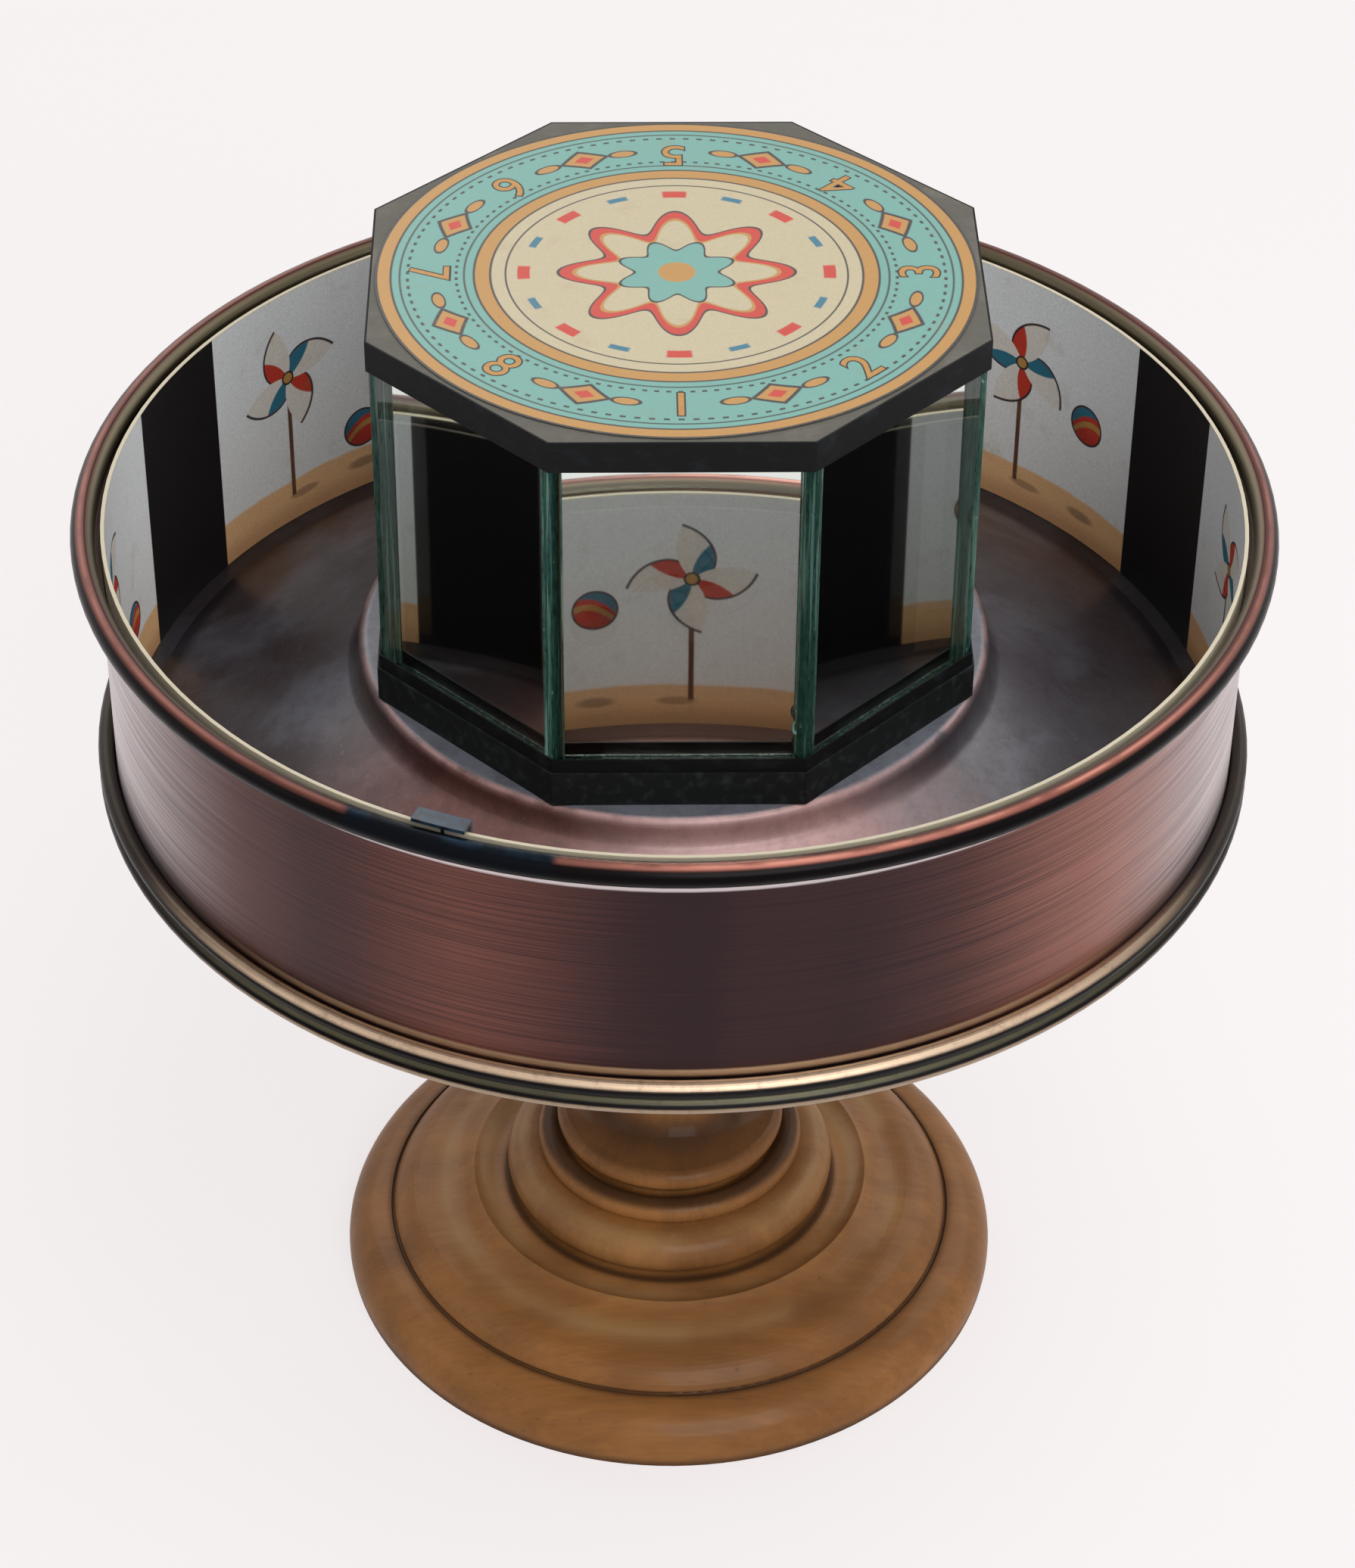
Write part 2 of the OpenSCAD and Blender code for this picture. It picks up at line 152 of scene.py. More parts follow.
class TinColours(bpy.types.PropertyGroup):
    brown: colour("Brown lacquer", "Thick lacquer of the drum wall", 44, 31, 35)
    # Also painted as highlight bands on the wall and on top of the rim.
    copper: colour("Copper lacquer", "Lacquer worn thin on the wall", 122, 76, 66)
    # Used as painted reflections near the sides of the wall and as a painted highlight line under
    # the rim.
    tin: colour("Bare tin", "Tin that shows through the lacquer", 226, 216, 218)
    # Used as painted highlights on the wall and on top of the rim.
    rubbed: colour("Rubbed copper", "Lacquer rubbed bright on the rim and wall", 186, 128, 112)
    # Also painted as a reflection inside the rim and as a highlight on the lower bead.
    olive: colour("Olive lacquer", "Aged lacquer inside the rim and on the lower bead", 84, 82, 64)
    # Also painted shade: under the rim, in the line inside it, on the floor by the strip and as the
    # dark of the beads.
    soot: colour("Soot", "Blackened tin under the rim and between the beads", 12, 9, 10)
    black: colour("Black lacquer", "Blue-black lacquer of the bar and its patch of rim", 9, 13, 19)
    # Also painted as the highlight along the top of the black patch on the rim.
    blue: colour("Worn black lacquer", "Blue-grey where the black lacquer is rubbed", 34, 58, 78)
    floor: colour("Floor lacquer", "Lacquer of the drum floor", 66, 56, 58)
    # Also painted as a sheen on the right of the floor.
    bloom: colour("Floor bloom", "Bluish bloom on the floor", 116, 120, 130)
    # Painted sheen on the front of the floor and a painted highlight on the plateau's edge.
    handled: colour("Handled floor", "Pinkish floor where the strip is put in", 206, 164, 160)
    # Used as painted highlights on the beads and at the foot of the wall, strongest at the front.
    worn: colour("Worn bead", "Tan metal rubbed bare on the upper bead", 196, 172, 146)


class WoodColours(bpy.types.PropertyGroup):
    light: colour("Light wood", "Early wood under the varnish", 160, 109, 60)
    dark: colour("Dark wood", "Late wood under the varnish", 106, 69, 38)
    # Painted as highlights on the swells of the foot and column.
    pale: colour("Pale wood", "Wood rubbed pale on the swell of the foot", 172, 142, 98)
    # Also painted as shade on the column under its lip and the drum.
    grime: colour("Grime", "Old polish in the turned grooves", 40, 26, 17)
    bare: colour("Bare wood", "Unvarnished carcass", 196, 160, 112)
    paint: colour("Black paint", "Matt paint of the plinth", 18, 22, 22)
    dust: colour("Dust", "Dust and rubs on the plinth", 72, 80, 80)


class MetalColours(bpy.types.PropertyGroup):
    steel: colour("Steel", "Spindle, hub and fasteners", 176, 178, 180)
    brass: colour("Brass", "Hub tube and washer", 200, 160, 88)


class PrintColours(bpy.types.PropertyGroup):
    turquoise: colour("Turquoise", "Ring of the label", 112, 168, 158)
    gold: colour("Gold", "Gold ink", 186, 138, 70)
    dull_gold: colour("Dull gold", "Gold ink gone dark", 150, 100, 44)
    cream: colour("Cream", "Middle of the label", 196, 184, 152)
    red: colour("Red", "Red ink", 196, 52, 36)
    blue: colour("Blue", "Blue ink", 36, 112, 136)
    ink: colour("Ink", "Black ink", 26, 26, 28)
    grey_ink: colour("Grey ink", "Black ink gone grey", 70, 64, 54)
    yellowing: colour("Yellowing", "Fibres of the old paper", 120, 112, 96)
    foxing: colour("Foxing", "Brown spots of the old paper", 150, 120, 80)


class StripColours(bpy.types.PropertyGroup):
    sky: colour("Sky", "Pale ground of the pictures", 232, 234, 236)
    sand: colour("Sand", "Ground at the foot of the pictures", 228, 180, 130)
    near_sand: colour("Near sand", "Darker lower edge of the sand", 168, 112, 74)
    shadow: colour("Shadow", "Shadows on the sand", 96, 66, 50)
    stick: colour("Stick", "Stick of the pinwheel", 92, 56, 36)
    sail_back: colour("Sail back", "Folded backs of the pinwheel's sails", 226, 220, 210)
    bar: colour("Bar", "Black bars between the pictures", 13, 10, 11)
    card: colour("Card", "Edge and back of the strip", 208, 198, 174)
    turn: angle("Turn", "How far the loose strip lies from square with the mirrors", 1.2)


class LabelSizes(bpy.types.PropertyGroup):
    numeral: length("Numeral", "Size of the type of the numbers", 7.4)
    outline: length("Outline", "Width of the black line round the numbers", 0.22)
    black_ink: length("Black ink", "Half the thickness of the black line", 0.006)
    gold_ink: length("Gold ink", "Half the thickness of the gold numbers", 0.012)


class PaperColours(bpy.types.PropertyGroup):
    lid: colour("Lid card", "Card of the lid", 82, 82, 73)
    lid_fibre: colour("Lid fibre", "Browner fibres of the lid's card", 78, 74, 66)
    lid_stain: colour("Lid stain", "Pale stains on the lid's card", 136, 130, 116)
    tape: colour("Tape", "Black paper tape", 8, 10, 12)
    tape_rub: colour("Tape rub", "Tape rubbed grey", 48, 54, 58)
    tape_fibre: colour("Tape fibre", "Bare fibres of the tape", 84, 84, 82)


class GlassLook(bpy.types.PropertyGroup):
    arris: length("Arris", "Width of the ground arris along the edges of a plate", 0.22)
    flake: length("Flake", "Height of the largest flake broken from the front plate", 2.4)
    clear: colour("Clear", "Glass of the plates", 246, 250, 248)
    tint: colour("Edge tint", "Ground edge of the plate glass", 60, 104, 92)
    gleam: colour("Edge gleam", "Light caught inside the edge of the glass", 150, 190, 176)
    silver: colour("Silver", "Silvering behind the glass", 240, 243, 240)
    tarnish: colour("Tarnish", "Silvering gone dull", 120, 118, 108)


class CameraPlace(bpy.types.PropertyGroup):
    elevation: angle("Elevation", "Height of the camera over the rim", 34.237)
    azimuth: angle("Azimuth", "Turn of the camera round the spindle, from the front", -1.235)
    distance: length("Distance", "Camera to the middle of the rim", 555.4)
    pitch: angle("Pitch", "Aim below the middle of the rim", 3.882)
    yaw: angle("Yaw", "Aim to the right of the middle of the rim", 0.086)
    roll: angle("Roll", "Turn of the camera about its aim", 0.524)
    lens: FloatProperty(
        name="Lens", description="Focal length for a 36 mm high picture",
        subtype="DISTANCE_CAMERA", min=1, default=95.52)


class StageLook(bpy.types.PropertyGroup):
    paper: colour("Paper", "Pale ground and background", 249, 244, 244)
    glow: level("Glow", "Share of the paper's brightness that the ground shows by itself", 0.78)
    ground: FloatVectorProperty(
        name="Ground", description="Share of the light that the ground throws onto the object",
        subtype="COLOR", size=3, min=0, max=1, default=(0.8, 0.79, 0.78))
    shadow: FloatVectorProperty(
        name="Shadow", description="Share of the light on the ground that shows as shade on it",
        subtype="COLOR", size=3, min=0, max=1, default=(0.22, 0.21, 0.21))
    fill: level("Fill", "Light that comes from all round", 0.25)
    top: level("Top", "Power of the lamp overhead, in watts", 2.6)
    front: level("Front", "Power of the lamp over the camera's side, in watts", 4.8)
    back: level("Back", "Power of each of the two lamps behind, in watts", 1.9)
    side: level("Sides", "Power of each side lamp, in watts", 0.4)


class Praxinoscope(bpy.types.PropertyGroup):
    tin: PointerProperty(type=TinColours)
    wood: PointerProperty(type=WoodColours)
    metal: PointerProperty(type=MetalColours)
    prints: PointerProperty(type=PrintColours)
    strip: PointerProperty(type=StripColours)
    label: PointerProperty(type=LabelSizes)
    paper: PointerProperty(type=PaperColours)
    glass: PointerProperty(type=GlassLook)
    camera: PointerProperty(type=CameraPlace)
    stage: PointerProperty(type=StageLook)


def look():
    """The scene's colours and sizes for the praxinoscope."""
    return bpy.context.scene.praxinoscope


# ---- shader maths ----


class Value:
    """A shader socket that takes part in Python arithmetic."""

    def __init__(self, nodes, socket):
        self.nodes = nodes
        self.socket = socket

    def __add__(self, other):
        return self.nodes.math("ADD", self, other)

    def __sub__(self, other):
        return self.nodes.math("SUBTRACT", self, other)

    def __rsub__(self, other):
        return self.nodes.math("SUBTRACT", other, self)

    def __mul__(self, other):
        return self.nodes.math("MULTIPLY", self, other)

    def __truediv__(self, other):
        return self.nodes.math("DIVIDE", self, other)

    def __mod__(self, other):
        return self.nodes.math("FLOORED_MODULO", self, other)

    def __abs__(self):
        return self.nodes.math("ABSOLUTE", self)

    __radd__ = __add__
    __rmul__ = __mul__


class Nodes:
    """A node tree under construction."""

    def __init__(self, tree):
        self.tree = tree
        self.tree.nodes.clear()

    def node(self, kind, settings=None, inputs=None, output=0):
        """Adds a node: first its settings, then its sockets' values or links."""
        made = self.tree.nodes.new(kind)
        for name, value in (settings or {}).items():
            setattr(made, name, value)
        for key, value in (inputs or {}).items():
            if isinstance(value, Value):
                self.tree.links.new(value.socket, made.inputs[key])
            elif hasattr(value, "__len__") and made.inputs[key].type == "RGBA":
                made.inputs[key].default_value = (*value[:3], 1)
            else:
                made.inputs[key].default_value = value
        return Value(self, made.outputs[output]) if made.outputs else None

    def math(self, operation, *values):
        return self.node("ShaderNodeMath", {"operation": operation}, dict(enumerate(values)))

    def most(self, a, b):
        return self.math("MAXIMUM", a, b)

    def whole(self, value):
        return self.math("FLOOR", value)

    def hypot(self, a, b):
        return self.math("SQRT", a * a + b * b)

    def seen(self):
        """1 for rays from the camera and for those seen in metal or through glass."""
        rays = [self.node("ShaderNodeLightPath", output=name)
                for name in ("Is Camera Ray", "Is Glossy Ray", "Is Transmission Ray")]
        return self.most(rays[0], self.most(rays[1], rays[2]))


class Finish(Nodes):
    """A material under construction, whose patterns read the object's place in millimetres."""

    def __init__(self, name):
        self.material = bpy.data.materials.new(name)
        self.material.use_nodes = True
        super().__init__(self.material.node_tree)
        place = self.node("ShaderNodeTexCoord", output="Object")
        self.place = self.node(
            "ShaderNodeVectorMath", {"operation": "SCALE"}, {0: place, "Scale": 1 / MM})
        self.x, self.y, self.z = (
            self.node("ShaderNodeSeparateXYZ", None, {0: self.place}, axis) for axis in "XYZ")

    def rise(self, value, low, high):
        """0 below low, 1 above high, smooth between; high may lie below low."""
        return self.node(
            "ShaderNodeMapRange", {"interpolation_type": "SMOOTHSTEP"},
            {"Value": value, "From Min": low, "From Max": high})

    def band(self, value, middle, half, soft):
        """1 where value is within half of middle, with a soft edge."""
        return self.rise(abs(value - middle), half + soft, half - soft)

    def blend(self, factor, under, over):
        return self.node(
            "ShaderNodeMix", {"data_type": "RGBA", "clamp_result": True},
            {0: factor, 6: under, 7: over}, output=2)

    def layers(self, ground, *prints):
        """Colours printed over a ground in order, each a (mask, colour)."""
        for mask, shade in prints:
            ground = self.blend(mask, ground, shade)
        return ground

    def noise(self, size, stretch=(1, 1, 1), detail=3.0, roughness=0.55, distortion=0.0):
        """Noise from 0 to 1 with blots of about size millimetres, times stretch along each axis."""
        squeezed = self.node(
            "ShaderNodeVectorMath", {"operation": "MULTIPLY"},
            {0: self.place, 1: tuple(1 / (size * s) for s in stretch)})
        return self.node(
            "ShaderNodeTexNoise", {"normalize": True},
            {"Vector": squeezed, "Scale": 1.0, "Detail": detail, "Roughness": roughness,
             "Distortion": distortion})

    def polar(self):
        """Radius in millimetres and azimuth in radians about the spindle."""
        return self.hypot(self.x, self.y), self.math("ARCTAN2", self.y, self.x)

    def bump(self, height, depth, strength):
        """Normal of a relief: height from 0 to 1 stands for depth millimetres."""
        return self.node(
            "ShaderNodeBump", None,
            {"Height": height, "Distance": depth * MM, "Strength": strength})

    def surface(self, **sockets):
        """Principled surface: base_color=... feeds Base Color, and so on."""
        inputs = {key.replace("_", " ").title().replace("Ior", "IOR"): value
                  for key, value in sockets.items()}
        return self.node("ShaderNodeBsdfPrincipled", None, inputs)

    def finish(self, shader):
        self.node("ShaderNodeOutputMaterial", None, {"Surface": shader})
        return self.material


# ---- modelling helpers ----


def deselect_all():
    bpy.ops.object.select_all(action="DESELECT")


def only(piece):
    """Selects one piece alone and makes it the active one."""
    deselect_all()
    piece.select_set(True)
    bpy.context.view_layer.objects.active = piece


def new_piece(name, primitive, **arguments):
    """Adds a primitive under the piece's name."""
    deselect_all()
    primitive(**arguments)
    piece = bpy.context.object
    piece.name = name
    piece.data.name = name
    return piece


def settle(piece):
    """Puts the piece's place, turn and size into its mesh."""
    only(piece)
    bpy.ops.object.transform_apply(location=True, rotation=True, scale=True)


def apply_modifier(piece, kind, **settings):
    only(piece)
    modifier = piece.modifiers.new(kind.title(), kind)
    for name, value in settings.items():
        setattr(modifier, name, value)
    bpy.ops.object.modifier_apply(modifier=modifier.name)


def copy_turned(piece, name, turn):
    """A copy with its own mesh, turned about the spindle."""
    twin = piece.copy()
    twin.data = piece.data.copy()
    twin.name = name
    twin.data.name = name
    bpy.context.scene.collection.objects.link(twin)
    twin.data.transform(Matrix.Rotation(turn, 4, "Z"))
    return twin


def paint(name, material):
    """Gives a CAD node a finish."""
    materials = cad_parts[name].data.materials
    materials.clear()
    materials.append(material)


def fit(piece, body, slot, *replaced):
    """Tells the frame the piece's body and hides the nodes it replaces. slot is not used."""
    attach(piece, body)
    if replaced:
        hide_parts(*replaced)


# ---- finishes ----


def turned_wood(name, stretch, swells, grooves):
    """Varnished wood. stretch draws the fibres out, swells are the radii of rings painted pale as
    highlights, and grooves are (radius or None, height or None, reach) of dark rings: grime, or
    painted shade."""
    shades = look().wood
    f = Finish(name)
    radius, _ = f.polar()
    fibres = f.noise(0.8, stretch, detail=6, roughness=0.65)
    figure = f.noise(11, tuple(s ** 0.5 for s in stretch), detail=3, distortion=0.5)
    pores = f.noise(0.35, tuple(s * 1.2 for s in stretch), detail=2)
    blotches = f.noise(20, detail=3)
    dents = f.noise(2.5, detail=4)
    base = f.layers(
        shades.light,
        (f.rise(figure * 0.65 + fibres * 0.35, 0.34, 0.68) * 0.6, shades.dark),
        (f.rise(pores, 0.6, 0.8) * 0.25, shades.grime),
        (f.rise(blotches, 0.42, 0.72) * 0.5, shades.dark),
        # Pale rings on the swells are painted highlights.
        *((f.band(radius, swell, 1.0, 2.4) * f.rise(blotches, 0.72, 0.4) * 0.6, shades.pale)
          for swell in swells),
        (f.rise(dents, 0.68, 0.78) * 0.4, shades.grime),
    )
    grime_and_shade = 0.0
    # Grime in grooves, and painted shade on the column under its lip and the drum.
    for ring_radius, ring_height, reach in grooves:
        nearness = 1.0
        if ring_height is not None:
            nearness = f.rise(abs(f.z - ring_height), reach, 0.0) * nearness
        if ring_radius is not None:
            nearness = f.rise(abs(radius - ring_radius), reach * 1.6, 0.0) * nearness
        grime_and_shade = f.most(grime_and_shade, nearness)
    base = f.blend(grime_and_shade * 0.8, base, shades.grime)
    return f.finish(f.surface(
        base_color=base, roughness=0.4 + fibres * 0.1 + grime_and_shade * 0.25,
        normal=f.bump(fibres * 0.4 + dents * 0.6, 0.05, 0.5), coat_weight=0.1,
        coat_roughness=0.12, ior=1.22))


def round_from_front(f, azimuth):
    """Degrees round the drum from its front, positive to the right."""
    turned = (azimuth * (180 / math.pi) + 90 + 180) % 360
    return turned - 180


def copper_tin():
    """Drum wall: brown lacquer worn to copper in places, with painted highlights in copper and pale
    painted reflections, and its rolled rim.
    """
    shades = look().tin
    f = Finish("copper_lacquer")
    radius, azimuth = f.polar()
    round_wall = round_from_front(f, azimuth)
    hairlines = f.noise(0.24, (240, 240, 1), detail=2, roughness=0.8)
    streaks = f.noise(0.8, (60, 60, 1), detail=4, roughness=0.75)
    jitter = f.noise(0.4, (90, 90, 1), detail=4, roughness=0.7) - 0.5
    clouds = f.noise(30, (1, 1, 8), detail=2) + jitter * 0.12
    turn = round_wall + jitter * 8

    # Patches of the wall, by their degrees round it: painted copper highlights and pale painted
    # reflections near the sides, then worn copper, streaks and hairlines
    wall = f.layers(
        shades.brown,
        (f.band(turn, -21, 9, 11) * 0.85, shades.copper),
        (f.rise(turn, -30, -50) * f.rise(turn, -118, -92) * 0.45, shades.copper),
        (f.rise(turn, 14, 46) * f.rise(turn, 112, 84) * 0.95, shades.copper),
        (f.band(turn, 46, 10, 12) * 0.55, shades.rubbed),
        (f.rise(turn, 40, 74) * f.rise(turn, 106, 82) * 0.85, shades.tin),
        (f.rise(turn, -44, -80) * f.rise(turn, -110, -86) * 0.85, shades.tin),
        (f.rise(abs(turn), 90, 120) * f.rise(clouds, 0.44, 0.6) * 0.7, shades.copper),
        (f.rise(clouds, 0.44, 0.7) * 0.12, shades.copper),
        (f.rise(streaks, 0.5, 0.66) * 0.2, shades.brown),
        (f.rise(hairlines, 0.46, 0.62) * 0.5, shades.brown),
    )
    over = f.z - RIM_MIDDLE / MM
    # A painted highlight line on the wall just below the rim.
    flare_highlight = f.band(over, -FLARE_HIGHLIGHT, 0.35, 0.2)
    wall = f.blend(flare_highlight * 0.8, wall, shades.tin)
    # A tan painted highlight line at the foot of the wall, strongest at the front.
    foot_highlight = f.band(f.z - DRUM_BOTTOM / MM, FOOT_HIGHLIGHT, 0.5, 0.25)
    at_front = f.rise(abs(round_wall), 60, 30)
    wall = f.blend(foot_highlight * at_front * 0.8, wall, shades.worn)

    # The rolled rim, by the degrees around its own middle: 0 outwards, 90 on top
    out = radius - BEAD_MIDDLE / MM
    bead = BEAD_RADIUS / MM
    on_bead = f.rise(f.hypot(over, out), bead + 0.2, bead + 0.1)
    around = f.math("ARCTAN2", over, out) * (180 / math.pi)
    handled = f.noise(2.4, (3, 3, 1), detail=4)
    # Painted highlights on the rim: copper on top and a bright band, stronger at the front.
    bright = 0.15 + f.rise(round_wall, -14, 8) * f.rise(round_wall, 64, 30) * 0.85
    # Painted shade on the rim: black below and a dark line at the strip; olive inside is a painted
    # reflection.
    rim = f.layers(
        shades.soot,
        (f.rise(around, 46, 66) * (0.4 + bright * 0.6), shades.copper),
        (f.band(around, 80, 8, 9) * f.rise(handled, 0.3, 0.6) * bright, shades.rubbed),
        (f.rise(around, 104, 124) * 0.85, shades.olive),
        (f.band(around, 104, 3, 3) * 0.8, shades.soot),
    )
    ragged = (f.noise(2.2, detail=4) - 0.5) * 1.6
    at_strip_bar = f.band(round_wall + ragged, STRIP_BAR_TURN, 10, 0.6)
    # The lighter blue along the top of the black patch is a painted highlight.
    rubs = f.rise(handled, 0.5, 0.7) * f.rise(around, 50, 90)
    black_patch = f.blend(rubs * 0.5, shades.black, shades.blue)
    base = f.blend(on_bead, wall, f.blend(at_strip_bar, rim, black_patch))
    return f.finish(f.surface(
        base_color=base, metallic=0.88 + on_bead * 0.12,
        roughness=0.3 + hairlines * 0.14, normal=f.bump(hairlines * 0.6 + streaks * 0.4, 0.04, 0.6),
        coat_weight=0.08, coat_roughness=0.2))


def floor_tin():
    """Drum floor: worn dark lacquer with a bluish bloom, painted sheen, highlights and shade, and
    the two beads outside the wall.
    """
    shades = look().tin
    f = Finish("floor_lacquer")
    radius, azimuth = f.polar()
    turn = round_from_front(f, azimuth)
    blots = f.noise(6, detail=6, roughness=0.66)
    clouds = f.noise(22, detail=4, distortion=0.5)
    specks = f.noise(0.7, detail=4, roughness=0.7)
    scratches = f.noise(0.5, (30, 30, 1), detail=4, roughness=0.7)
    mottle = f.noise(2.2, detail=6, roughness=0.75)
    drifting = turn + (clouds - 0.5) * 30
    plateau = f.rise(radius, PLATEAU_EDGE, PLATEAU_EDGE - 0.8)
    outer = f.rise(radius, PLATEAU_EDGE - 0.4, PLATEAU_EDGE + 0.4)
    # A pink painted sheen on the floor towards the front.
    front_sheen = outer * f.band(drifting, 14, 26, 18)
    inside = f.layers(
        shades.floor,
        (f.rise(clouds, 0.44, 0.68) * 0.45, shades.bloom),
        # A bluish painted sheen on the right of the floor.
        (f.band(drifting, 68, 16, 20) * 0.3, shades.bloom),
        (plateau * 0.8, shades.bloom),
        (outer * f.band(drifting, -34, 24, 16) * 0.7, shades.copper),
        (f.rise(blots, 0.48, 0.7) * 0.35, shades.brown),
        (f.rise(mottle, 0.44, 0.64) * 0.25, shades.brown),
        (front_sheen * (1.1 - mottle * 0.7), shades.handled),
        (f.rise(specks, 0.58, 0.74) * 0.4, shades.bloom),
        (f.rise(scratches, 0.62, 0.78) * 0.25, shades.copper),
        # A painted highlight along the plateau's rounded edge.
        (f.band(radius, PLATEAU_EDGE, 0.25, 0.5) * f.rise(blots, 0.3, 0.6) * 0.6, shades.handled),
        # Darker towards the strip: painted shade at the foot of the wall.
        (f.rise(radius, 69, 72) * 0.7, shades.soot),
    )

    # The beads, by their height above the bottom of the drum: dark, with painted highlights in tan
    # and olive, strongest at the front
    above = f.z - DRUM_BOTTOM / MM
    at_front = f.rise(abs(turn), 66, 30)
    beads = f.layers(
        shades.soot,
        (f.rise(above, 4.0, 4.5) * (0.03 + at_front * 0.9), shades.worn),
        (f.band(above, 2.25, 0.3, 0.2) * (0.2 + at_front * 0.6), shades.olive),
        (f.rise(above, 1.5, 1.1) * (0.05 + at_front * 0.6), shades.worn),
        (f.rise(mottle, 0.5, 0.75) * 0.4, shades.brown),
    )
    wall_in = WALL_IN / MM
    outside = f.rise(radius, wall_in + 0.3, wall_in + 0.6)
    base = f.blend(outside, inside, beads)
    return f.finish(f.surface(
        base_color=base, metallic=0.34 + outside * 0.61 - plateau * 0.24 - front_sheen * 0.2,
        roughness=0.26 + blots * 0.14 + mottle * 0.1,
        normal=f.bump(mottle * 0.6 + scratches * 0.4, 0.05, 0.4), coat_weight=0.15 - outside * 0.15,
        coat_roughness=0.2))


def black_tin():
    shades = look().tin
    f = Finish("black_lacquer")
    worn = f.noise(1.2, detail=4)
    base = f.blend(f.rise(worn, 0.25, 0.65) * 0.9, shades.black, shades.blue)
    return f.finish(f.surface(
        base_color=base, roughness=0.32 + worn * 0.2, metallic=0.2,
        normal=f.bump(worn, 0.04, 0.5), coat_weight=0.5, coat_roughness=0.2))


def turned_metal(name, shade, rough):
    """Plain turned metal of the bearing and fasteners."""
    f = Finish(name)
    marks = f.noise(0.25, (14, 14, 1), detail=3)
    stain = f.noise(2.5, detail=3)
    base = f.blend(f.rise(stain, 0.45, 0.8) * 0.4, shade, tuple(c * 0.45 for c in shade))
    return f.finish(f.surface(
        base_color=base, metallic=1.0, roughness=rough + marks * 0.2,
        normal=f.bump(marks, 0.02, 0.5)))


def bare_wood():
    shades = look().wood
    f = Finish("bare_wood")
    fibres = f.noise(0.8, (1, 1, 14), detail=5)
    base = f.blend(f.rise(fibres, 0.35, 0.7), shades.bare, tuple(c * 0.6 for c in shades.bare))
    return f.finish(f.surface(
        base_color=base, roughness=0.7, normal=f.bump(fibres, 0.08, 0.6)))


def black_paint():
    shades = look().wood
    f = Finish("black_paint")
    brushed = f.noise(0.5, (10, 10, 1), detail=4)
    dust = f.noise(1.8, detail=4)
    base = f.blend(f.rise(dust, 0.48, 0.75) * 0.3, shades.paint, shades.dust)
    return f.finish(f.surface(
        base_color=base, roughness=0.55 + dust * 0.2, normal=f.bump(brushed, 0.06, 0.5), ior=1.28))


def black_tape():
    """Black paper, rubbed grey in places and down to its fibres."""
    shades = look().paper
    f = Finish("black_tape")
    fibres = f.noise(0.4, (3, 3, 1), detail=5, roughness=0.7)
    rubs = f.noise(2.6, (1.5, 1.5, 1), detail=5)
    base = f.layers(
        shades.tape,
        (f.rise(rubs, 0.5, 0.8) * 0.3, shades.tape_rub),
        (f.rise(fibres, 0.6, 0.8) * 0.3, shades.tape_fibre),
    )
    return f.finish(f.surface(
        base_color=base, roughness=0.5 + fibres * 0.2, normal=f.bump(fibres, 0.05, 0.6), ior=1.28))


def lid_paper():
    shades = look().paper
    f = Finish("lid_card")
    fibres = f.noise(0.5, (3, 1, 1), detail=5, roughness=0.7)
    stains = f.noise(9, detail=4)
    base = f.layers(
        shades.lid,
        (f.rise(fibres, 0.35, 0.7), shades.lid_fibre),
        (f.rise(stains, 0.5, 0.8) * 0.5, shades.lid_stain),
    )
    return f.finish(f.surface(
        base_color=base, roughness=0.62, normal=f.bump(fibres, 0.06, 0.5)))


def paper_age(f, printed):
    """Print on old paper: yellowed fibres and foxing."""
    shades = look().prints
    fibres = f.noise(0.35, detail=4, roughness=0.7)
    foxing = f.noise(5, detail=5)
    return f.layers(
        printed,
        (f.rise(fibres, 0.3, 0.75) * 0.16, shades.yellowing),
        (f.rise(foxing, 0.56, 0.82) * 0.28, shades.foxing),
    )


